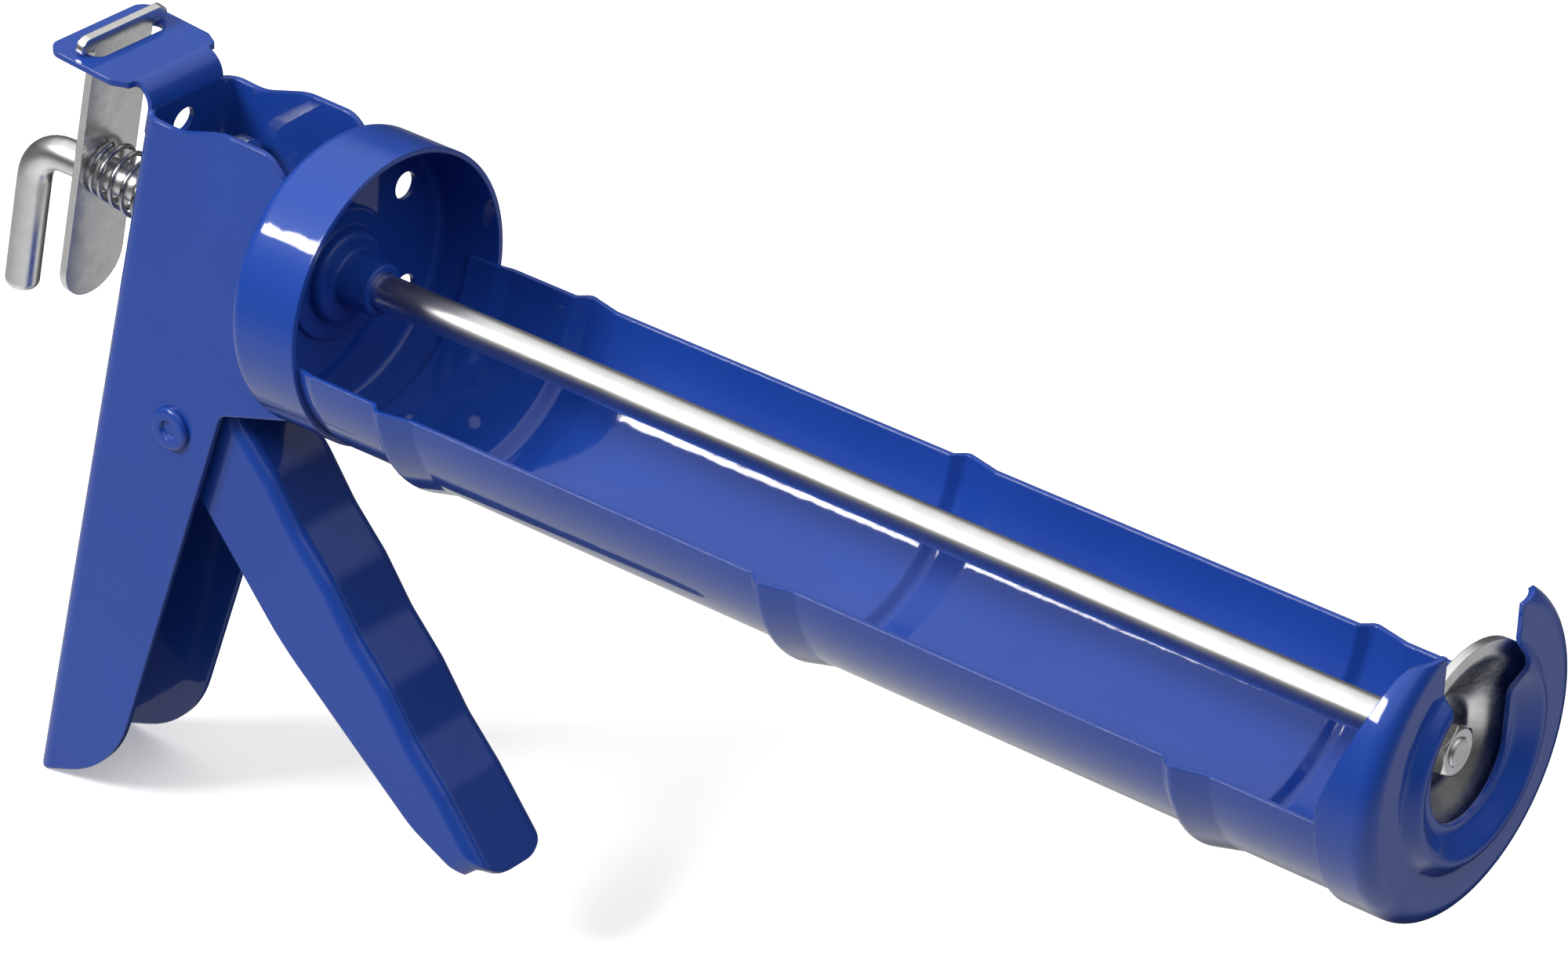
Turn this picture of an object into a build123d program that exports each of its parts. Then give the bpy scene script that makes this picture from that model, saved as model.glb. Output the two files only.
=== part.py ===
from build123d import *
from math import cos, radians, sin, tan
import os

# Caulking gun of the half-barrel kind, with a smooth push rod, for 50 mm cartridges.
#
# Millimetres. The sub-parts are drawn about the barrel axis, which is the X axis, with the
# nose towards +X, up along +Z, and x = 0 at the front rim of the rear cup. Before they are
# written they are all moved together, so that the lowest point of the handle is at z = 0 and
# the middle of the object's length and width is over the origin.

# Push rod
rod_dia = 6.35
stud_dia = 5.0
leg_lean = 9.5             # degrees that the hand end leans back from straight down
leg_length = 30.5          # from the rod's axis to the hand end's tip
leg_corner_x = -85.2       # where the leg's centre line meets the rod's
leg_bend_radius = 8.0
rod_end_round = 1.6

# Rear cup, which the cartridge stands in
cup_radius = 27.0
cup_wall = 1.0
cup_depth = 15.0
cup_corner = 2.6
vent_dia = 5.2
vent_y = 17.3
vent_z = 10.0

# Rod guide, the stepped hub in the middle of the cup
guide_flange_radius = 12.2
guide_flange_height = 1.0
guide_boss_radius = 8.6
guide_boss_height = 3.4
guide_collar_radius = 4.8
guide_length = 10.5
guide_neck_radius = 5.0
rod_running_clearance = 0.06

# Half-barrel cradle
cradle_wall = 0.9
cradle_edge_drop = 3.5     # the long edges lie this far under the barrel axis
cradle_tuck = 6.0          # how far the cradle goes into the rear cup
cradle_fit = 0.05          # gap to the cup and to the nose cap
cradle_flare = 0.6         # the first section is this much larger than its end in the cup
barrel_length = 220.1      # from the rear cup's rim to the nose cap's face
section_step = 0.25        # each section is this much larger than the one behind it
bead_first_x = 22.0
bead_pitch = 81.7
bead_count = 3
bead_width = 9.0
bead_height = 1.9
bead_rise = 2.0            # length of the steep rear side of a bead

# Nose cap
nose_wall = 0.9
nose_skirt = 10.0
nose_corner = 3.2
nose_slot_width = 21.0
nose_slot_drop = 0.9       # the round end of the slot is centred this far under the axis
nose_ridge_radius = 16.6
nose_ridge_height = 2.1
nose_ridge_foot = 2.6      # the ridge's outer foot is this far outside its crest
nose_dish = 0.7            # the middle of the face lies this far behind its outer ring
nose_horn_slope = 0.3      # the skirt's rear edge runs forward by this much per mm of height
nose_horn_top = 22.8       # height of the two horns above the axis

# Frame: one folded sheet with a rear web, two cheeks, a handle and a rear tab
frame_width = 22.4
frame_wall = 1.1
frame_bend = 4.0
web_rake = 11.24           # degrees from upright
web_x = -54.4              # outer face of the web at the height of the barrel axis
shoulder_z = 22.2
handle_depth = 122.4       # from the barrel axis to the heel
flange_spring_gap = 0.4     # from each weld flange to the return spring
rod_hole_clearance = 1.05   # how much larger the web's hole is than the rod
hang_hole_dia = 5.1
hang_hole_z = 16.7

# Rear tab, which carries the release plate
tab_width = 24.8
tab_neck_width = 17.8
tab_rear_x = -71.0
tab_top_z = 26.7           # top face of the tab over tab_front_x
tab_front_x = -50.6
tab_rise = 4.66            # degrees
tab_corner = 3.2
tab_slot_length = 17.6
tab_slot_width = 4.2
tab_slot_x = -63.85
tab_bend = 4.0

# Release plate
plate_wall = 1.5
plate_width = 14.4
plate_head_width = 21.2
plate_head_height = 2.9
plate_drop = 54.3
plate_corner = 7.1
plate_lean = 9.7           # degrees at rest, with the lower end to the rear
plate_hole_clearance = 0.95
plate_hinge_x = -64.75
plate_seat_clearance = 0.3

# Drive plates, which the trigger pushes and which grip the rod
drive_wall = 1.5
drive_side_gap = 1.1       # from each edge to the cheek beside it
drive_top_z = 14.5
drive_bottom_z = -12.0
drive_corner = 4.0
drive_hole_clearance = 0.45

# Trigger
trigger_side_gap = 1.6     # from each side to the cheek beside it
trigger_wall = 1.1
trigger_bend = 2.5
pivot_x = -42.9
pivot_z = -37.1
ear_reach = 27.5           # pivot to the middle of the rounded nose that pushes the plates
ear_start = 6.0            # degrees that the nose lies behind the pivot at rest
ear_nose_radius = 3.2
ear_gap = 0.25             # nose to rear drive plate
trigger_sweep = 24.0       # degrees of squeeze
trigger_tip_x = 29.2
trigger_tip_z = -102.3
trigger_top_x = -34.0
trigger_top_z = -27.0
trigger_tip_round = 6.5
groove_pitch = 21.0        # of the shallow finger grooves
groove_depth = 0.7
groove_round = 14.0
first_groove = 7.5         # from the lever's upper end

# Pivot rivet and its sleeve
rivet_dia = 5.0
rivet_head_dia = 8.2
rivet_head_height = 1.2
rivet_dimple_dia = 3.8
rivet_dimple_depth = 0.7
pivot_clearance = 0.05
sleeve_radius = 3.7
side_clearance = 0.1

# Springs
return_wire = 1.2
return_slack = 1.725       # from the rod's surface to the inside of the coils
return_turns = 7.0
release_wire = 1.0
release_slack = 1.425
release_turns = 4.5
spring_washer_rim = 1.0    # how far it stands out past the coils
spring_washer_wall = 0.8
spring_gap = 0.05

# Piston on the front end of the rod
piston_radius = 19.2
piston_wall = 1.5
piston_flat_radius = 8.5
piston_dish = 5.6
piston_lip = 2.6
piston_gap = 0.3           # rim to the nose cap when the rod is fully forward
piston_play = 0.05
washer_radius = 7.0
washer_wall = 1.0
nut_across_flats = 8.0
nut_height = 4.0
stud_proud = 0.5

# Worked out from the sizes above
rod_radius = rod_dia / 2
cup_inner = cup_radius - cup_wall
cup_floor_x = cup_wall - cup_depth
face_x = barrel_length
cap_inner_x = face_x - nose_wall
first_radius = cup_inner - cradle_fit + cradle_flare
section_radius = [first_radius + section_step * i for i in range(bead_count + 1)]
cap_inner = section_radius[-1] + cradle_fit
cap_radius = cap_inner + nose_wall
cradle_front_x = cap_inner_x - nose_corner
half_frame = frame_width / 2
cheek_inner = half_frame - frame_wall
rod_hole_dia = rod_dia + rod_hole_clearance
plate_hole_dia = rod_dia + plate_hole_clearance
drive_hole_dia = rod_dia + drive_hole_clearance
drive_width = 2 * (cheek_inner - drive_side_gap)
trigger_width = 2 * (cheek_inner - trigger_side_gap)
return_radius = rod_radius + return_slack + return_wire / 2
release_radius = rod_radius + release_slack + release_wire / 2
weld_flange = cheek_inner - return_radius - return_wire / 2 - flange_spring_gap
spring_washer_radius = release_radius + release_wire / 2 + spring_washer_rim
heel_z = -handle_depth
ear_nose_x = pivot_x - ear_reach * sin(radians(ear_start))
ear_nose_z = pivot_z + ear_reach * cos(radians(ear_start))
drive_rear_x = ear_nose_x + ear_nose_radius + ear_gap
drive_stroke = ear_reach * (sin(radians(ear_start)) + sin(radians(trigger_sweep - ear_start)))
piston_rim_x = cap_inner_x - piston_gap
piston_rear_x = piston_rim_x - piston_dish - piston_wall
nut_rear_x = piston_rear_x + piston_wall + piston_play
shoulder_x = piston_rear_x - piston_play - washer_wall
piston_travel = piston_rear_x - piston_play - washer_wall - (cup_floor_x + guide_length) - 1.0
far = 60.0


def outline(*corners):
    """A closed outline from (first, second, corner radius) triples."""
    points = [(u, v) for u, v, _ in corners]
    return make_face(FilletPolyline(*points, radius=[r for _, _, r in corners], close=True))


def across(profile, width):
    """A side profile, drawn as (x, z), made a block of this width about the middle plane."""
    return extrude(Plane.XZ * profile, width / 2, both=True)


def turned(profile):
    """A profile, drawn as (x, radius), turned about the barrel axis."""
    return revolve(profile, Axis.X, 360)


def rod_along_x(radius, x_from, x_to, y=0.0, z=0.0):
    """A round bar along the barrel's direction."""
    length = x_to - x_from
    return Pos((x_from + x_to) / 2, y, z) * Rot(0, 90, 0) * Cylinder(radius, length)


def pin_along_y(radius, width, x, z):
    """A round bar across the object, about its middle plane."""
    return Pos(x, 0, z) * Rot(90, 0, 0) * Cylinder(radius, width)


def web_outer_x(z):
    """The rear face of the frame's web at a height."""
    return web_x + z * tan(radians(web_rake))


def channel(width, wall, bend, depth, length):
    """A U channel along +Z with its web at x = 0 and its walls towards +X."""
    side = width / 2
    outer = outline((0, -side, bend), (0, side, bend), (depth, side, 0), (depth, -side, 0))
    half = width / 2 - wall
    rear = [(wall, -half, bend - wall), (wall, half, bend - wall)]
    inner = outline(*rear, (depth + 1, half, 0), (depth + 1, -half, 0))
    return extrude(outer - inner, length)


# Barrel group

def rear_cup():
    """The pressed cup at the barrel's rear, open to the front, with four round vents."""
    rear_x = -cup_depth
    profile = outline(
        (rear_x, guide_neck_radius, 0),
        (rear_x, cup_radius, cup_corner),
        (0, cup_radius, 0),
        (0, cup_inner, 0),
        (cup_floor_x, cup_inner, cup_corner - cup_wall),
        (cup_floor_x, guide_neck_radius, 0),
    )
    cup = turned(profile)
    for y in (-vent_y, vent_y):
        for z in (-vent_z, vent_z):
            cup -= rod_along_x(vent_dia / 2, rear_x - 1, cup_floor_x + 1, y, z)
    return cup


def rod_guide():
    """The stepped hub that guides the rod, with its neck through the cup's floor."""
    bore = rod_radius + rod_running_clearance
    flange_x = cup_floor_x + guide_flange_height
    boss_x = cup_floor_x + guide_boss_height
    front_x = cup_floor_x + guide_length
    profile = outline(
        (-cup_depth, bore, 0),
        (-cup_depth, guide_neck_radius, 0),
        (cup_floor_x, guide_neck_radius, 0),
        (cup_floor_x, guide_flange_radius, 0),
        (flange_x, guide_flange_radius, 0.5),
        (flange_x, guide_boss_radius, 0.5),
        (boss_x, guide_boss_radius, 1.4),
        (boss_x, guide_collar_radius, 1.0),
        (front_x, guide_collar_radius, 0.6),
        (front_x, bore, 0),
    )
    return turned(profile)


def cradle_line(inset):
    """The cradle's long section, this far inside its outer face, as (x, radius, round)."""
    tucked = cup_inner - cradle_fit - inset
    line = [(-cradle_tuck, tucked, 0), (0.4, tucked, 1.5), (3.4, section_radius[0] - inset, 1.5)]
    for i in range(bead_count):
        rear = bead_first_x + i * bead_pitch - bead_width / 2
        crest = section_radius[i] + bead_height - inset
        line.append((rear, section_radius[i] - inset, 0.8))
        line.append((rear + bead_rise, crest, 1.6))
        line.append((rear + bead_width, section_radius[i + 1] - inset, 3.0))
    line.append((cradle_front_x, section_radius[-1] - inset, 0))
    return line


def cradle():
    """The half barrel that the cartridge lies in, stiffened by three rolled beads."""
    profile = outline(*cradle_line(0), *reversed(cradle_line(cradle_wall)))
    deep = 2 * cap_radius
    keep = Pos(face_x / 2, 0, -cradle_edge_drop - deep / 2) * Box(2 * face_x, 2 * deep, deep)
    return turned(profile) & keep


def nose_line(inset):
    """The nose cap's section, this far inside its outer face, from the skirt to the middle."""
    skirt_rear = face_x - nose_skirt
    x = face_x - inset
    crest = x + nose_ridge_height
    middle = x - nose_dish
    return [
        (skirt_rear, cap_radius - inset, 0),
        (x, cap_radius - inset, nose_corner - inset),
        (x, nose_ridge_radius + nose_ridge_foot, 1.0),
        (crest, nose_ridge_radius + 0.9, 1.5),
        (crest, nose_ridge_radius - 0.6, 1.8),
        (middle, nose_ridge_radius - 4.0, 1.8),
        (middle, 0, 0),
    ]


def horn_clearing():
    """What is cut away behind and above the two horns, in side view."""
    skirt_rear = face_x - nose_skirt
    lean = nose_horn_slope * nose_horn_top
    above = cap_radius + 2
    return outline(
        (skirt_rear - 2, 0, 0),
        (skirt_rear, 0, 0),
        (skirt_rear + lean, nose_horn_top, 2.5),
        (face_x + far, nose_horn_top, 0),
        (face_x + far, above, 0),
        (skirt_rear - 2, above, 0),
    )


def nose_cap():
    """The front cap: a ridged face with a slot for the cartridge's nozzle, open at the top."""
    cap = turned(outline(*nose_line(0), *reversed(nose_line(nose_wall))))
    reach = cap_radius + 1
    half_slot = nose_slot_width / 2
    slot = Pos(face_x, 0, (reach - nose_slot_drop) / 2) * Box(far, nose_slot_width, reach + nose_slot_drop)
    slot += rod_along_x(half_slot, face_x - far / 2, face_x + far / 2, 0, -nose_slot_drop)
    return cap - slot - across(horn_clearing(), 2 * reach)


# Frame group

def cheek_outline():
    """The side view of the frame and handle."""
    rear_x = -cup_depth
    return outline(
        (web_outer_x(shoulder_z), shoulder_z, 0.8),
        (-41.0, 21.6, 10),
        (-31.0, 24.6, 14),
        (-20.0, 24.4, 5),
        (rear_x, 19.4, 1.2),
        (rear_x, -25.2, 1.2),
        (-31.4, -30.4, 3),
        (-58.4, -115.0, 24),
        (web_outer_x(heel_z), heel_z, 2),
    )


def tab_top(x):
    """The height of the tab's top face."""
    return tab_top_z + (tab_front_x - x) * tan(radians(tab_rise))


def tab_middle(x):
    """The height of the tab's middle surface."""
    return tab_top(x) - frame_wall / 2 / cos(radians(tab_rise))


def tab_sheet():
    """The neck above the web and the tab folded back from it."""
    half_wall = frame_wall / 2 / cos(radians(web_rake))
    root_z = shoulder_z - 5
    rake = tan(radians(web_rake))
    rise = tan(radians(tab_rise))
    base = web_x + half_wall
    bend_z = (tab_middle(0) - rise * base) / (1 + rise * rake)
    bend_x = base + bend_z * rake
    route = FilletPolyline(
        (base + root_z * rake, root_z),
        (bend_x, bend_z),
        (tab_rear_x, tab_middle(tab_rear_x)),
        radius=tab_bend,
    )
    strip = across(trace(route, frame_wall), tab_width)
    wide, neck = tab_width / 2, tab_neck_width / 2
    side = [(-52.6, neck, 1.0), (-52.6, wide - 1.6, 0.8), (-55.6, wide, 1.5), (tab_rear_x, wide, tab_corner)]
    left = [(-40.0, neck, 0), *side]
    right = [(x, -y, r) for x, y, r in reversed(left)]
    plan = extrude(outline(*left, *right), far)
    slot = Pos(tab_slot_x, 0, 0) * Rot(0, 0, 90) * SlotOverall(tab_slot_length, tab_slot_width)
    return (strip & plan) - extrude(slot, far)


def weld_flanges():
    """The two flanges, turned in from the cheeks, that are welded to the cup."""
    rear_x = -cup_depth
    flanges = []
    for side in (-1, 1):
        y = side * (cheek_inner - weld_flange / 2)
        flanges.append(Pos(rear_x - frame_wall / 2, y, -2) * Box(frame_wall, weld_flange + 0.2, 36))
    return flanges


def frame_shell():
    """The folded frame: web, cheeks, handle, neck and tab, with its holes."""
    foot_z = heel_z - 1
    tall = shoulder_z + 8 - foot_z
    section = channel(frame_width, frame_wall / cos(radians(web_rake)), frame_bend, far, 1.0)
    rake = tan(radians(web_rake))
    base_face = section.faces().sort_by(Axis.Z)[0]
    sheared = extrude(Pos(web_outer_x(foot_z), 0, foot_z) * base_face, tall, dir=(rake, 0, 1))
    frame = (sheared & across(cheek_outline(), frame_width)) + tab_sheet()
    for flange in weld_flanges():
        frame += flange
    frame -= rod_along_x(rod_hole_dia / 2, web_x - 10, web_x + 10)
    frame -= rod_along_x(hang_hole_dia / 2, web_x - 10, web_x + 14, 0, hang_hole_z)
    frame -= pin_along_y(rivet_dia / 2, frame_width + 2, pivot_x, pivot_z)
    return frame


def pivot_rivet():
    """The rivet that the trigger turns on, with a domed and dimpled head at each end."""
    half = half_frame
    top = half + rivet_head_height
    head = rivet_head_dia / 2
    profile = outline(
        (0, 0, 0),
        (0, top - rivet_dimple_depth, 0),
        (rivet_dimple_dia / 2 - 0.4, top - rivet_dimple_depth, 0),
        (rivet_dimple_dia / 2, top, 0.2),
        (head, top, 0.8),
        (head, half, 0),
        (rivet_dia / 2, half, 0),
        (rivet_dia / 2, 0, 0),
    )
    arm = revolve(profile, Axis.Y, 360)
    return Pos(pivot_x, 0, pivot_z) * (arm + mirror(arm, Plane.XZ))


def pivot_sleeve():
    """The tube on the rivet that keeps the trigger's ears apart."""
    length = trigger_width - 2 * trigger_wall - 2 * side_clearance
    tube = pin_along_y(sleeve_radius, length, pivot_x, pivot_z)
    return tube - pin_along_y(rivet_dia / 2, length + 1, pivot_x, pivot_z)


# Trigger group

def trigger_front(inset):
    """The lever's front face as a line of finger grooves, this far inside the outer face."""
    top = Vector(trigger_top_x, trigger_top_z, 0)
    tip = Vector(trigger_tip_x, trigger_tip_z, 0)
    along = (tip - top).normalized()
    out = Vector(-along.Y, along.X, 0)
    start = top - out * inset
    half_pitch = groove_pitch / 2
    steps = int((tip - top).length / half_pitch)
    line = [start]
    for i in range(1, steps):
        side = groove_depth / 2 if i % 2 else -groove_depth / 2
        line.append(start + along * (first_groove + (i - 1) * half_pitch) - out * side)
    line.append(tip + along * 10 - out * inset)
    return [(p.X, p.Y, 0 if i in (0, len(line) - 1) else groove_round) for i, p in enumerate(line)]


def is_front_edge(edge, half_width):
    """True for the two long edges of the lever's front face."""
    middle = edge.center()
    slope = (trigger_tip_z - trigger_top_z) / (trigger_tip_x - trigger_top_x)
    height = trigger_top_z + slope * (middle.X - trigger_top_x)
    return abs(abs(middle.Y) - half_width) < 0.01 and abs(middle.Z - height) < 5 and edge.length > 1.5


def lever_block(inset, width, bend):
    """The lever as a solid bar with rounded front corners, smaller all round by the inset."""
    front = trigger_front(inset)
    rear = [(trigger_tip_x - 40, trigger_tip_z - 40, 0), (trigger_top_x - 40, trigger_top_z - 15, 0)]
    bar = across(outline(*front, *rear), width)
    return fillet([e for e in bar.edges() if is_front_edge(e, width / 2)], bend)


def lever_side():
    """The lever's side view, with its rear edge and its rounded tip."""
    return outline(
        (trigger_top_x - 1, trigger_top_z + 6, 0),
        (trigger_tip_x + 12, trigger_tip_z + 6, 0),
        (trigger_tip_x - 1.0, trigger_tip_z - 3.0, 1.5),
        (20.5, -102.6, 6),
        (11.5, -98.2, 20),
        (-19.4, -72.8, 60),
        (-38.5, -51.0, 10),
        (-46.0, -44.0, 2),
        (-43.0, -32.0, 3),
    )


def lever_tongue():
    """The lever seen square to its front face, with the round corners of its tip."""
    run = Vector(trigger_tip_x - trigger_top_x, trigger_tip_z - trigger_top_z, 0)
    half = trigger_width / 2
    plan = outline(
        (-half, -20, 0),
        (-half, run.length, trigger_tip_round),
        (half, run.length, trigger_tip_round),
        (half, -20, 0),
    )
    slope = run.get_angle(Vector(1, 0, 0))
    block = extrude(Plane.YZ * plan, far, both=True)
    return Pos(trigger_top_x, 0, trigger_top_z) * Rot(0, 90 + slope, 0) * block


def trigger_channel():
    """The folded lever: a front face with finger grooves and two side walls."""
    bar = lever_block(0, trigger_width, trigger_bend)
    bar -= lever_block(trigger_wall, trigger_width - 2 * trigger_wall, trigger_bend - trigger_wall)
    return bar & lever_tongue() & across(lever_side(), trigger_width)


def ear_outline():
    """The side view of the ears, from the pivot up to the nose that pushes the plates."""
    left = ear_nose_x - ear_nose_radius
    right = ear_nose_x + ear_nose_radius
    top = ear_nose_z + ear_nose_radius
    nose = ear_nose_radius - 0.02
    return outline(
        (right, top, nose),
        (right, top - 9.5, 3),
        (-37.2, -27.5, 0),
        (-36.0, -36.0, 0),
        (-38.5, -50.0, 0),
        (pivot_x - 7.6, pivot_z - 2.9, 7),
        (left, top, nose),
    )


def trigger():
    """The trigger lever with its two ears and the raised collars round the pivot."""
    inner = trigger_width - 2 * trigger_wall
    ears = across(ear_outline(), trigger_width) - across(ear_outline(), inner)
    lever = trigger_channel() + ears
    collar_span = 2 * (cheek_inner - side_clearance)
    collars = pin_along_y(sleeve_radius + 0.8, collar_span, pivot_x, pivot_z)
    lever += collars - pin_along_y(sleeve_radius + 1.8, trigger_width - 0.4, pivot_x, pivot_z)
    return lever - pin_along_y(rivet_dia / 2 + pivot_clearance, frame_width, pivot_x, pivot_z)


# Rod group

def push_rod():
    """The rod, bent down at the rear as a hand grip and turned down to a stud in front."""
    lean = radians(leg_lean)
    tip = (leg_corner_x - leg_length * sin(lean), 0, -leg_length * cos(lean))
    route = FilletPolyline((shoulder_x, 0, 0), (leg_corner_x, 0, 0), tip, radius=leg_bend_radius)
    start = Plane(origin=(shoulder_x, 0, 0), z_dir=(-1, 0, 0))
    rod = sweep(start * Circle(rod_radius), path=route)
    tip_edge = rod.edges().filter_by(GeomType.CIRCLE).sort_by(Axis.Z)[0]
    rod = fillet(tip_edge, rod_end_round)
    stud_end = nut_rear_x + nut_height + stud_proud
    stud = rod_along_x(stud_dia / 2, shoulder_x - 1, stud_end)
    stud = chamfer(stud.edges().filter_by(GeomType.CIRCLE).sort_by(Axis.X)[-1], 0.4)
    return rod + stud


def piston_plate():
    """The dished disc that pushes on the cartridge, with a turned-out rim."""
    middle_x = piston_rear_x + piston_wall / 2
    rim_x = piston_rim_x - piston_wall / 2
    route = FilletPolyline(
        (middle_x, stud_dia / 2 + pivot_clearance),
        (middle_x, piston_flat_radius),
        (rim_x, piston_radius - piston_lip),
        (rim_x, piston_radius),
        radius=[3.0, 1.6],
    )
    return turned(trace(route, piston_wall))


def piston_washer():
    """The washer between the rod's shoulder and the piston plate."""
    disc = rod_along_x(washer_radius, shoulder_x, shoulder_x + washer_wall)
    return disc - rod_along_x(stud_dia / 2, shoulder_x - 1, shoulder_x + washer_wall + 1)


def piston_nut():
    """The hexagon nut on the stud, with its front corners turned off."""
    blank = extrude(RegularPolygon(nut_across_flats / 2, 6, major_radius=False), nut_height)
    nut = Pos(nut_rear_x, 0, 0) * Rot(0, 90, 0) * blank
    corner = nut_across_flats / 2 / cos(radians(30))
    front_x = nut_rear_x + nut_height
    turning = outline(
        (nut_rear_x, 0, 0),
        (nut_rear_x, corner + 1, 0),
        (front_x - 0.45, corner + 1, 0),
        (front_x - 0.45, corner, 0),
        (front_x, corner - 0.75, 0),
        (front_x, 0, 0),
    )
    return (nut & turned(turning)) - rod_along_x(stud_dia / 2, nut_rear_x - 1, front_x + 1)


# Gripping plates and springs

def plate_hinge_z():
    """The height of the release plate's seat on the tab."""
    return tab_top(plate_hinge_x) + plate_seat_clearance


def lean_at_rest(shape):
    """Moves a shape, drawn about the release plate's seat, to its place at rest."""
    return Pos(plate_hinge_x, 0, plate_hinge_z()) * Rot(0, plate_lean, 0) * shape


def release_plate():
    """The T-shaped catch plate that hangs in the tab's slot and grips the rod."""
    head, body = plate_head_width / 2, plate_width / 2
    left = [
        (head, plate_head_height, 2.0),
        (head, 0, 0.5),
        (body, 0, 0),
        (body, -plate_drop, plate_corner),
    ]
    right = [(-y, z, r) for y, z, r in reversed(left)]
    blank = extrude(Plane.YZ * outline(*left, *right), plate_wall / 2, both=True)
    hole_z = -plate_hinge_z() / cos(radians(plate_lean))
    blank -= rod_along_x(plate_hole_dia / 2, -plate_wall, plate_wall, 0, hole_z)
    return lean_at_rest(blank)


def drive_plate(order):
    """One of the two plates that the trigger pushes forward; order 0 is the rear one."""
    half = drive_width / 2
    blank = outline(
        (half, drive_top_z, drive_corner),
        (half, drive_bottom_z, 1.0),
        (-half, drive_bottom_z, 1.0),
        (-half, drive_top_z, drive_corner),
    )
    plate = extrude(Plane.YZ * blank, drive_wall)
    plate -= rod_along_x(drive_hole_dia / 2, -1, drive_wall + 1)
    return Pos(drive_rear_x + order * drive_wall, 0, 0) * plate


def coil(pitch, turns, radius, wire):
    """A helical wire along +Z whose centre line starts at z = 0."""
    route = Helix(pitch=pitch, height=pitch * turns, radius=radius)
    start = Plane(origin=route @ 0, z_dir=route % 0)
    return sweep(start * Circle(wire / 2), path=route, is_frenet=True)


def return_spring():
    """The spring round the rod that sends the drive plates and the trigger back."""
    rear_x = drive_rear_x + 2 * drive_wall + spring_gap + return_wire / 2
    front_x = -cup_depth - spring_gap - return_wire / 2
    pitch = (front_x - rear_x) / return_turns
    return Pos(rear_x, 0, 0) * Rot(0, 90, 0) * coil(pitch, return_turns, return_radius, return_wire)


def plate_front_x():
    """Where the release plate's front face crosses the barrel axis."""
    lean = radians(plate_lean)
    return plate_hinge_x - plate_hinge_z() * tan(lean) + plate_wall / 2 / cos(lean)


def spring_lean():
    """The release spring stands halfway between the leaning plate and the raked web."""
    return (plate_lean + web_rake) / 2


def release_spring():
    """The spring behind the web that leans the release plate back."""
    lean = radians(spring_lean())
    rear = plate_front_x()
    front = web_x - spring_washer_wall / cos(radians(web_rake))
    slack = release_radius * tan(radians((web_rake - plate_lean) / 2)) + spring_gap
    length = (front - rear) * cos(lean) - release_wire - 2 * slack
    pitch = length / release_turns
    wound = Pos(0, 0, -length / 2) * coil(pitch, release_turns, release_radius, release_wire)
    return Pos((rear + front) / 2, 0, 0) * Rot(0, 90 + spring_lean(), 0) * wound


def spring_washer():
    """The washer that the release spring bears on, flat against the web."""
    disc = rod_along_x(spring_washer_radius, -spring_washer_wall, 0)
    disc -= rod_along_x(rod_hole_dia / 2, -2, 1)
    return Pos(web_x, 0, 0) * Rot(0, web_rake, 0) * disc


NODES = {
    "rear_cup": rear_cup,
    "rod_guide": rod_guide,
    "cradle": cradle,
    "nose_cap": nose_cap,
    "frame_shell": frame_shell,
    "pivot_rivet": pivot_rivet,
    "pivot_sleeve": pivot_sleeve,
    "trigger": trigger,
    "push_rod": push_rod,
    "piston_plate": piston_plate,
    "piston_washer": piston_washer,
    "piston_nut": piston_nut,
    "release_plate": release_plate,
    "release_spring": release_spring,
    "spring_washer": spring_washer,
    "drive_plate_rear": lambda: drive_plate(0),
    "drive_plate_front": lambda: drive_plate(1),
    "return_spring": return_spring,
}


def build_all():
    """Every node by name, in place, with the origin under the middle of the object."""
    made = {name: make() for name, make in NODES.items()}
    box = Compound(children=[s for shape in made.values() for s in shape.solids()]).bounding_box()
    middle_x = (box.min.X + box.max.X) / 2
    home = Pos(-middle_x, 0, -box.min.Z)
    placed = {name: home * shape for name, shape in made.items()}
    return placed, Vector(-middle_x, 0, -box.min.Z)


placed, row_shift = build_all()
os.makedirs("parts", exist_ok=True)
for name, shape in placed.items():
    export_step(Compound(children=list(shape.solids())), f"parts/{name}.step")
print("barrel axis and cup rim in the row's frame:", row_shift)
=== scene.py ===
# %% [markdown]
# # A half-barrel caulking gun
#
# The gun is folded from thin steel sheet and dipped in glossy blue enamel. Its rod and plates
# are bright zinc, and two small springs are wound from steel wire. The sheet parts, the rod and
# the plates arrive finished from the model, so this script gives them their finish, winds the
# springs, dishes the tip of the rod and sets up the studio.

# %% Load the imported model
import bmesh
import bpy
from math import cos, pi, radians, sin
from mathutils import Matrix, Vector


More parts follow.
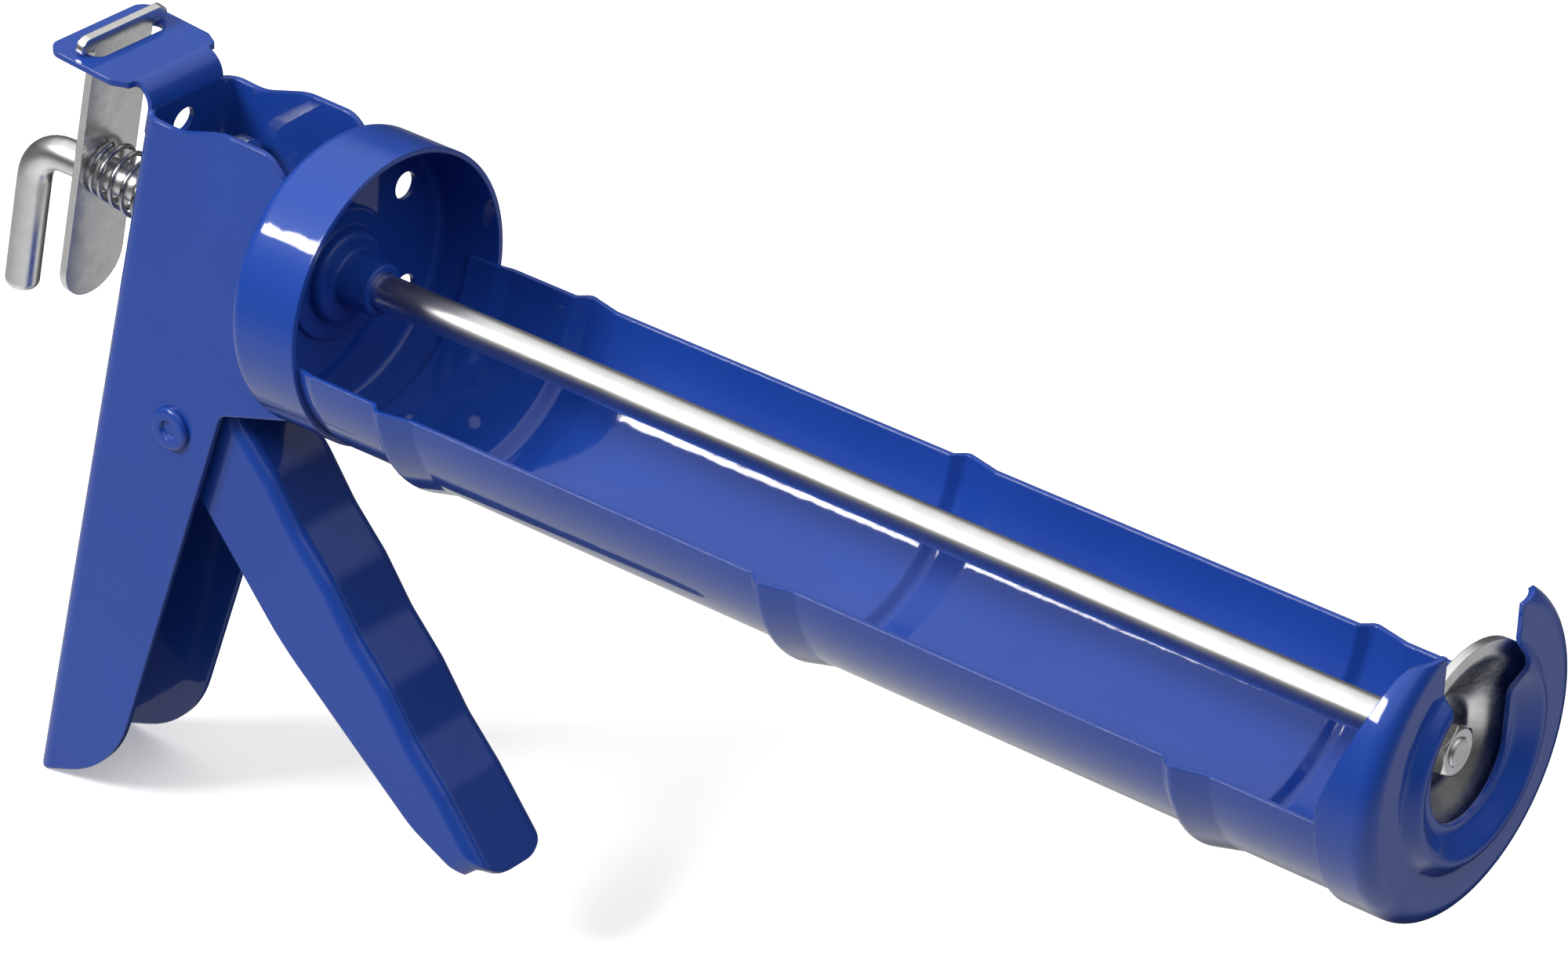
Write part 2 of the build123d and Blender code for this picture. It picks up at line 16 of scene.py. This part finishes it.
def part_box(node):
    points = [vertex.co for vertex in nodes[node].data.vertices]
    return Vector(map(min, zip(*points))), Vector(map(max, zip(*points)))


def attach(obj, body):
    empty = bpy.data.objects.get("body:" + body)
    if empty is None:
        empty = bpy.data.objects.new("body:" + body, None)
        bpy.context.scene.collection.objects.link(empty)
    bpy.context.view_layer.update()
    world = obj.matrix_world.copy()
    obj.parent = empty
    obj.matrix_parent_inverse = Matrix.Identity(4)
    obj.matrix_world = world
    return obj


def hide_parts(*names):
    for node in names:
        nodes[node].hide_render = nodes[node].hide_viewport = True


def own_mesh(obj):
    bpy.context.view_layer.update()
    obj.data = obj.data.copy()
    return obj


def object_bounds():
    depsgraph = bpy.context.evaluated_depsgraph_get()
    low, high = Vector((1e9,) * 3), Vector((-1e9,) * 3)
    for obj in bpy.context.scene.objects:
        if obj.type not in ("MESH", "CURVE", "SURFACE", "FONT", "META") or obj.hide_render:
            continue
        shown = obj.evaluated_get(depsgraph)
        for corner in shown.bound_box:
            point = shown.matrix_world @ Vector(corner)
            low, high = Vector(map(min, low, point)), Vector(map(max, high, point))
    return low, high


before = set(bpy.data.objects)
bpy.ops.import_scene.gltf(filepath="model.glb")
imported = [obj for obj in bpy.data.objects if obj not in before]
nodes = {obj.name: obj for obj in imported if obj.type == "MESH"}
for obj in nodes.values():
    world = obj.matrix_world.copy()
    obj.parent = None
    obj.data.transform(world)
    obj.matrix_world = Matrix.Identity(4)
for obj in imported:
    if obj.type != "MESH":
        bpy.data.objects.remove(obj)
cad_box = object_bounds()

# %% Find the barrel axis
# The rear cup is round about the barrel axis, and its front rim is where the barrel starts.
cup_low, cup_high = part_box("rear_cup")
rim_x = cup_high.x
axis_z = (cup_low.z + cup_high.z) / 2
print("barrel starts at x", round(rim_x, 5), "and its axis is at z", round(axis_z, 5))


def on_axis(x, y=0.0, z=0.0):
    """A point given from the barrel's start, in metres."""
    return Vector((rim_x + x, y, axis_z + z))


# %% [markdown]
# ## The camera
#
# The gun is seen from its right, a little in front and from above, through a long lens, which
# keeps the far end of the barrel nearly as large as the near end. The camera is built from its
# own three directions, because it is also rolled by two degrees.

# %% Place the camera
def camera_axes(azimuth, elevation, roll):
    """Right, up and back for a camera that looks at the gun from that direction."""
    back = Vector((
        sin(azimuth) * cos(elevation), -cos(azimuth) * cos(elevation), sin(elevation)
    ))
    level = Vector((cos(azimuth), sin(azimuth), 0))
    upright = back.cross(level)
    right = cos(roll) * level + sin(roll) * upright
    up = -sin(roll) * level + cos(roll) * upright
    return right, up, back


view_azimuth, view_elevation, view_roll = radians(37.628), radians(29.675), radians(2.422)
camera_place = on_axis(0.67980, -0.77232, 0.55239)
camera_data = bpy.data.cameras.new("camera")
camera_data.sensor_width = 36
camera_data.lens = 156.97
camera_data.clip_start = 0.05
camera_data.clip_end = 50
camera = bpy.data.objects.new("camera", camera_data)
right, up, back = camera_axes(view_azimuth, view_elevation, view_roll)
turn = Matrix((right, up, back)).transposed().to_4x4()
camera.matrix_world = Matrix.Translation(camera_place) @ turn
bpy.context.collection.objects.link(camera)
bpy.context.scene.camera = camera
print("camera at", [round(v, 4) for v in camera.location], "lens", camera_data.lens)

# %% [markdown]
# ## The finishes
#
# Enamel is a coloured layer under a clear glossy one, so it is a plain coloured shader with a
# coat. What makes it look like dipped paint and not plastic is the faint unevenness of the
# coat, called orange peel, and the way it rounds over the cut edges of the sheet.

# %% A small helper for building node trees
def new_material(name):
    """A material with its nodes on, and its Principled shader."""
    material = bpy.data.materials.new(name)
    material.use_nodes = True
    return material, material.node_tree.nodes["Principled BSDF"]


def add_node(material, kind, **inputs):
    """Adds a node and sets the inputs that are given by name."""
    node = material.node_tree.nodes.new(kind)
    for key, value in inputs.items():
        node.inputs[key.replace("_", " ")].default_value = value
    return node


def join(material, output, target):
    """Links an output to an input in that material."""
    material.node_tree.links.new(output, target)


def pattern(material, scale, stretch=(1, 1, 1), detail=2.0, roughness=0.5):
    """Noise on the piece's own coordinates, with so many blotches to a metre."""
    place = material.node_tree.nodes.new("ShaderNodeTexCoord")
    mapping = add_node(material, "ShaderNodeMapping", Scale=stretch)
    join(material, place.outputs["Object"], mapping.inputs["Vector"])
    noise = add_node(
        material, "ShaderNodeTexNoise", Scale=scale, Detail=detail, Roughness=roughness
    )
    join(material, mapping.outputs["Vector"], noise.inputs["Vector"])
    return noise.outputs["Fac"]


def spread(material, value, low, high):
    """Turns a pattern's middle range into numbers from low to high."""
    node = material.node_tree.nodes.new("ShaderNodeMapRange")
    node.inputs["From Min"].default_value = 0.3
    node.inputs["From Max"].default_value = 0.7
    node.inputs["To Min"].default_value = low
    node.inputs["To Max"].default_value = high
    join(material, value, node.inputs["Value"])
    return node.outputs["Result"]


def blend_colours(material, value, first, second):
    """Mixes two colours by a pattern."""
    ramp = material.node_tree.nodes.new("ShaderNodeValToRGB")
    ramp.color_ramp.elements[0].position = 0.3
    ramp.color_ramp.elements[1].position = 0.7
    ramp.color_ramp.elements[0].color = (*first, 1)
    ramp.color_ramp.elements[1].color = (*second, 1)
    join(material, value, ramp.inputs["Fac"])
    return ramp.outputs["Color"]


def rounded(material, radius):
    """A normal that rolls over sharp edges, as paint or a tumbled edge does."""
    bevel = material.node_tree.nodes.new("ShaderNodeBevel")
    bevel.samples = 4
    bevel.inputs["Radius"].default_value = radius
    return bevel.outputs["Normal"]


def bumped(material, height, depth, strength, normal=None):
    """Raises a pattern by so many metres, over another normal if one is given."""
    bump = add_node(material, "ShaderNodeBump", Strength=strength, Distance=depth)
    join(material, height, bump.inputs["Height"])
    if normal:
        join(material, normal, bump.inputs["Normal"])
    return bump.outputs["Normal"]


print("helpers for the finishes are ready")


# %% Blue enamel
def blue_enamel(name):
    """Glossy dipped paint: two close blues, a clear coat, orange peel and rolled edges."""
    material, shader = new_material(name)
    shader.inputs["Roughness"].default_value = 0.38
    shader.inputs["Specular IOR Level"].default_value = 0.08
    shader.inputs["Coat Weight"].default_value = 0.9
    shader.inputs["Coat Roughness"].default_value = 0.045
    shader.inputs["Coat IOR"].default_value = 1.5
    cloud = pattern(material, 22, detail=3)
    colour = blend_colours(material, cloud, (0.0095, 0.046, 0.285), (0.0120, 0.055, 0.325))
    join(material, colour, shader.inputs["Base Color"])
    edges = rounded(material, 0.0005)
    waves = bumped(material, pattern(material, 150, detail=1), 0.0003, 0.15, edges)
    peel = bumped(material, pattern(material, 560, detail=1), 0.0001, 0.07, waves)
    join(material, peel, shader.inputs["Coat Normal"])
    join(material, edges, shader.inputs["Normal"])
    return material


enamel = blue_enamel("blue_enamel")
print("made", enamel.name)

# %% [markdown]
# ## Zinc and wire
#
# Bright zinc plate is a metal that is a little cloudy: the crystals in it leave patches that
# are rougher than others. The rod was drawn through a die before it was plated, so its marks
# run along it, and the plates were stamped, so theirs have no direction.

# %% Zinc plate
def zinc_plate(name, stretch, line_depth, dull=0.24):
    """Bright zinc: cloudy roughness, two close greys and fine marks stretched one way."""
    material, shader = new_material(name)
    shader.inputs["Metallic"].default_value = 1.0
    cloud = pattern(material, 260, detail=4)
    colour = blend_colours(material, cloud, (0.82, 0.82, 0.81), (0.92, 0.92, 0.91))
    join(material, colour, shader.inputs["Base Color"])
    patches = pattern(material, 420, stretch, detail=5, roughness=0.65)
    join(material, spread(material, patches, dull - 0.04, dull + 0.05), shader.inputs["Roughness"])
    edges = rounded(material, 0.0003)
    lines = pattern(material, 900, stretch, detail=3)
    join(material, bumped(material, lines, line_depth, 0.15, edges), shader.inputs["Normal"])
    return material


drawn_zinc = zinc_plate("drawn_zinc", (0.06, 1, 1), 0.00006, 0.31)
stamped_zinc = zinc_plate("stamped_zinc", (1, 1, 1), 0.00004, 0.26)
print("made", drawn_zinc.name, "and", stamped_zinc.name)


# %% Spring wire
def spring_wire(name):
    """Hard drawn wire: bright, with short dull streaks."""
    material, shader = new_material(name)
    shader.inputs["Metallic"].default_value = 1.0
    streaks = pattern(material, 1400, detail=3)
    colour = blend_colours(material, streaks, (0.42, 0.41, 0.40), (0.66, 0.66, 0.65))
    join(material, colour, shader.inputs["Base Color"])
    join(material, spread(material, streaks, 0.16, 0.3), shader.inputs["Roughness"])
    join(material, bumped(material, streaks, 0.00002, 0.3), shader.inputs["Normal"])
    return material


wire_steel = spring_wire("wire_steel")
print("made", wire_steel.name)


# %% Give the model's parts their finishes
def finish_with(names, material):
    """Puts one material in every slot of each of those parts."""
    for name in names:
        part = nodes[name]
        if not part.material_slots:
            part.data.materials.append(material)
        for spot in part.material_slots:
            spot.material = material
    print(material.name, "on", ", ".join(names))


finish_with(
    ["rear_cup", "rod_guide", "cradle", "nose_cap", "frame_shell", "pivot_rivet", "trigger"],
    enamel,
)
finish_with(["push_rod"], drawn_zinc)
finish_with(
    ["piston_plate", "piston_washer", "piston_nut", "release_plate", "drive_plate_rear",
     "drive_plate_front", "spring_washer", "pivot_sleeve"],
    stamped_zinc,
)
finish_with(["return_spring", "release_spring"], wire_steel)

# %% [markdown]
# ## The two springs
#
# A compression spring is a round wire wound on a screw line, with its last turn laid flat
# against the one before so that it sits square. A circle of vertices spun about the axis while
# it also moves along it makes exactly that, and the move for each step is small for the end
# turns and larger for the open ones.

# %% A wound spring
end_turns = 0.75          # how much of a turn is laid flat at each end
end_lift = 1.04           # how far a flat turn climbs, in wire diameters


def wound_spring(name, length, radius, wire, turns, steps=40, sides=12):
    """A spring along +X, centred on the origin, with a closed turn at each end."""
    shape = bmesh.new()
    ring = bmesh.ops.create_circle(shape, cap_ends=False, segments=sides, radius=wire / 2)
    first = -(length - wire) / 2
    face_on = Matrix.Rotation(pi / 2, 4, "X")
    bmesh.ops.transform(
        shape, matrix=Matrix.Translation((first, 0, radius)) @ face_on, verts=ring["verts"]
    )
    end_pitch = wire * end_lift
    open_turns = turns - 2 * end_turns
    open_pitch = (length - wire - 2 * end_turns * end_pitch) / open_turns
    run = list({edge for vert in ring["verts"] for edge in vert.link_edges})
    bmesh.ops.contextual_create(shape, geom=run)
    stages = [(end_turns, end_pitch), (open_turns, open_pitch), (end_turns, end_pitch)]
    for part_turns, pitch in stages:
        count = round(part_turns * steps)
        spun = bmesh.ops.spin(
            shape, geom=run, cent=(0, 0, 0), axis=(1, 0, 0), angle=part_turns * 2 * pi,
            dvec=(pitch * part_turns / count, 0, 0), steps=count, use_merge=False,
        )
        run = [item for item in spun["geom_last"] if isinstance(item, bmesh.types.BMEdge)]
    bmesh.ops.contextual_create(shape, geom=run)
    bmesh.ops.recalc_face_normals(shape, faces=shape.faces)
    return finished(name, shape)


def finished(name, shape, smooth=True):
    """Turns a bmesh into an object at the origin and shades it."""
    mesh = bpy.data.meshes.new(name)
    shape.to_mesh(mesh)
    shape.free()
    piece = bpy.data.objects.new(name, mesh)
    bpy.context.collection.objects.link(piece)
    if smooth:
        mesh.shade_smooth()
    low = [min(v.co[i] for v in mesh.vertices) for i in range(3)]
    high = [max(v.co[i] for v in mesh.vertices) for i in range(3)]
    print(name, "has", len(mesh.polygons), "faces, from", [round(v, 4) for v in low], "to",
          [round(v, 4) for v in high])
    return piece


# %% Wind the return spring
# It sits on the rod between the drive plates and the floor of the cup.
return_low, return_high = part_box("return_spring")
return_wire, return_turns = 0.0012, 7
return_length = return_high.x - return_low.x
return_radius = (return_high.z - return_low.z - return_wire) / 2
return_coil = wound_spring(
    "return_coil", return_length, return_radius, return_wire, return_turns
)
return_coil.data.transform(Matrix.Translation(((return_low.x + return_high.x) / 2, 0, axis_z)))
return_coil.data.materials.append(wire_steel)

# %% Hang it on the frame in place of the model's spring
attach(return_coil, "frame")
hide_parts("return_spring")
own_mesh(return_coil)

# %% Wind the release spring
# It stands between the leaning catch plate and the raked web, so it leans halfway between.
release_low, release_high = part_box("release_spring")
release_wire, release_turns = 0.0010, 5.25
release_radius = 0.0051
plate_lean, web_rake = radians(9.7), radians(11.24)
release_lean = (plate_lean + web_rake) / 2
release_middle = (release_low + release_high) / 2
outer = 2 * (release_radius + release_wire / 2)
release_length = (release_high.x - release_low.x - outer * sin(release_lean)) / cos(release_lean)
release_coil = wound_spring(
    "release_coil", release_length, release_radius, release_wire, release_turns, steps=36
)
release_coil.data.transform(
    Matrix.Translation(release_middle) @ Matrix.Rotation(release_lean, 4, "Y")
)
release_coil.data.materials.append(wire_steel)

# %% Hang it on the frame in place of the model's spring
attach(release_coil, "frame")
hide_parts("release_spring")
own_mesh(release_coil)

# %% [markdown]
# ## The end of the rod
#
# The rod's front end is turned down to a stud, threaded for the nut, and its tip is dished by
# the punch that locks the nut. Only the tip shows, so it is a disc of vertices that is inset
# and pushed in ring by ring, which is quicker than a lathe profile.

# %% Dish the stud's tip
rod_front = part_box("push_rod")[1].x
sunk = 0.00002            # the disc's rim lies this far inside the stud's own end
stud_radius = 0.0024
tip_steps = ((0.00035, 0.0), (0.0004, -0.00022), (0.0007, -0.00010), (0.0004, 0.00012))
tip_shape = bmesh.new()
bmesh.ops.create_circle(tip_shape, cap_ends=True, segments=32, radius=stud_radius)
for inward, lift in tip_steps:
    middle = max(tip_shape.faces, key=lambda face: len(face.verts))
    bmesh.ops.inset_region(
        tip_shape, faces=[middle], thickness=inward, depth=lift,
        use_boundary=True, use_even_offset=True,
    )
bmesh.ops.transform(
    tip_shape, verts=tip_shape.verts,
    matrix=Matrix.Translation((rod_front - sunk, 0, axis_z)) @ Matrix.Rotation(pi / 2, 4, "Y"),
)
stud_tip = finished("stud_tip", tip_shape)
stud_tip.data.materials.append(stamped_zinc)
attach(stud_tip, "rod")

# %% [markdown]
# ## The studio
#
# The floor is one wide pale sheet, so that no corner shows. One window-shaped light stands to
# the left of the camera and makes the hard highlights on the cup, the barrel and the rod. Two
# wide sheets only fill in the colour: they are hidden from reflections, which would otherwise
# wash out the enamel. The floor is hidden from them too, and the sky stands in for it there.

# %% The floor
floor_shape = bmesh.new()
floor_half, floor_gap = 6, 0.0002
floor_z = cad_box[0][2] - floor_gap
bmesh.ops.create_grid(floor_shape, x_segments=4, y_segments=4, size=floor_half)
bmesh.ops.translate(floor_shape, verts=floor_shape.verts, vec=(0, 0, floor_z))
floor = finished("studio_floor", floor_shape, smooth=False)
paper, paper_shader = new_material("pale_paper")
paper_shader.inputs["Roughness"].default_value = 0.9
paper_shader.inputs["Specular IOR Level"].default_value = 0.1
join(
    paper,
    blend_colours(paper, pattern(paper, 3, detail=2), (0.86, 0.86, 0.86), (0.88, 0.88, 0.88)),
    paper_shader.inputs["Base Color"],
)
paper_shader.inputs["Emission Color"].default_value = (1, 1, 1, 1)
paper_shader.inputs["Emission Strength"].default_value = 0.31
floor.data.materials.append(paper)
floor.visible_glossy = False
floor.visible_diffuse = False


# %% The lights
def soft_light(name, azimuth, elevation, distance, width, height, watts):
    """A flat light that faces the middle of the gun from that direction."""
    data = bpy.data.lights.new(name, "AREA")
    data.shape = "RECTANGLE"
    data.size = width
    data.size_y = height
    data.energy = watts
    lamp = bpy.data.objects.new(name, data)
    out = Vector((
        sin(azimuth) * cos(elevation), -cos(azimuth) * cos(elevation), sin(elevation)
    ))
    middle = on_axis(0.08, 0, -0.04)
    lamp.location = middle + out * distance
    lamp.rotation_euler = out.to_track_quat("Z", "Y").to_euler()
    bpy.context.collection.objects.link(lamp)
    print(name, "at", [round(v, 2) for v in lamp.location], watts, "W")
    return lamp


soft_light("window", radians(-37), radians(38), 1.7, 0.62, 0.40, 23)
front_sheet = soft_light("front_sheet", radians(72), radians(50), 2.2, 2.4, 2.0, 19)
side_sheet = soft_light("side_sheet", radians(-18), radians(4), 1.8, 1.4, 0.8, 6)
for sheet in (front_sheet, side_sheet):
    sheet.visible_glossy = False

# %% The sky
# It is bright overhead and below, with a dark band at the height of the gun.
world = bpy.data.worlds.new("studio_sky")
world.use_nodes = True
sky_tree = world.node_tree
direction = sky_tree.nodes.new("ShaderNodeTexCoord")
axes_of_it = sky_tree.nodes.new("ShaderNodeSeparateXYZ")
height = sky_tree.nodes.new("ShaderNodeMapRange")
height.inputs["From Min"].default_value = -1
sky_ramp = sky_tree.nodes.new("ShaderNodeValToRGB")
sky_tree.links.new(direction.outputs["Generated"], axes_of_it.inputs["Vector"])
sky_tree.links.new(axes_of_it.outputs["Z"], height.inputs["Value"])
sky_tree.links.new(height.outputs["Result"], sky_ramp.inputs["Fac"])
sky_light = sky_tree.nodes["Background"]
sky_tree.links.new(sky_ramp.outputs["Color"], sky_light.inputs["Color"])
# Each step is a height, from 0 straight down to 1 straight up, and its light.
sky_steps = [
    (0.0, 0.90), (0.25, 0.55), (0.36, 0.18), (0.46, 0.05), (0.70, 0.10), (0.82, 0.75), (1.0, 1.15),
]
while len(sky_ramp.color_ramp.elements) < len(sky_steps):
    sky_ramp.color_ramp.elements.new(0.5)
for element, (place, light) in zip(sky_ramp.color_ramp.elements, sky_steps):
    element.position = place
    element.color = (light, light, light, 1)

# The sky is made darker in one direction, low behind the gun, as painted shade: it stands in for
# the floor lying in the gun's own shadow, and it keeps the front of the trigger dark.
toward_shaded_floor = sky_tree.nodes.new("ShaderNodeVectorMath")
toward_shaded_floor.operation = "DOT_PRODUCT"
toward_shaded_floor.inputs[1].default_value = (-0.02, 0.69, -0.72)
painted_floor_shade = sky_tree.nodes.new("ShaderNodeMapRange")
for key, value in (("From Min", 0.86), ("From Max", 0.95), ("To Min", 1.0), ("To Max", 0.02)):
    painted_floor_shade.inputs[key].default_value = value
sky_tree.links.new(direction.outputs["Generated"], toward_shaded_floor.inputs[0])
sky_tree.links.new(toward_shaded_floor.outputs["Value"], painted_floor_shade.inputs["Value"])
sky_tree.links.new(painted_floor_shade.outputs["Result"], sky_light.inputs["Strength"])

# Where the sky itself is in view, past the floor's edge, it is as pale as the floor.
plain_sky = sky_tree.nodes.new("ShaderNodeBackground")
plain_sky.inputs["Color"].default_value = (1, 1, 1, 1)
seen = sky_tree.nodes.new("ShaderNodeLightPath")
choice = sky_tree.nodes.new("ShaderNodeMixShader")
sky_tree.links.new(seen.outputs["Is Camera Ray"], choice.inputs[0])
sky_tree.links.new(sky_light.outputs["Background"], choice.inputs[1])
sky_tree.links.new(plain_sky.outputs["Background"], choice.inputs[2])
sky_tree.links.new(choice.outputs["Shader"], sky_tree.nodes["World Output"].inputs["Surface"])
bpy.context.scene.world = world
bpy.context.scene.view_settings.view_transform = "Standard"
bpy.context.scene.view_settings.look = "None"
print("sky with", len(sky_steps), "steps")

# %% Print the size of the model
print("cad box", [[round(v, 4) for v in c] for c in cad_box])
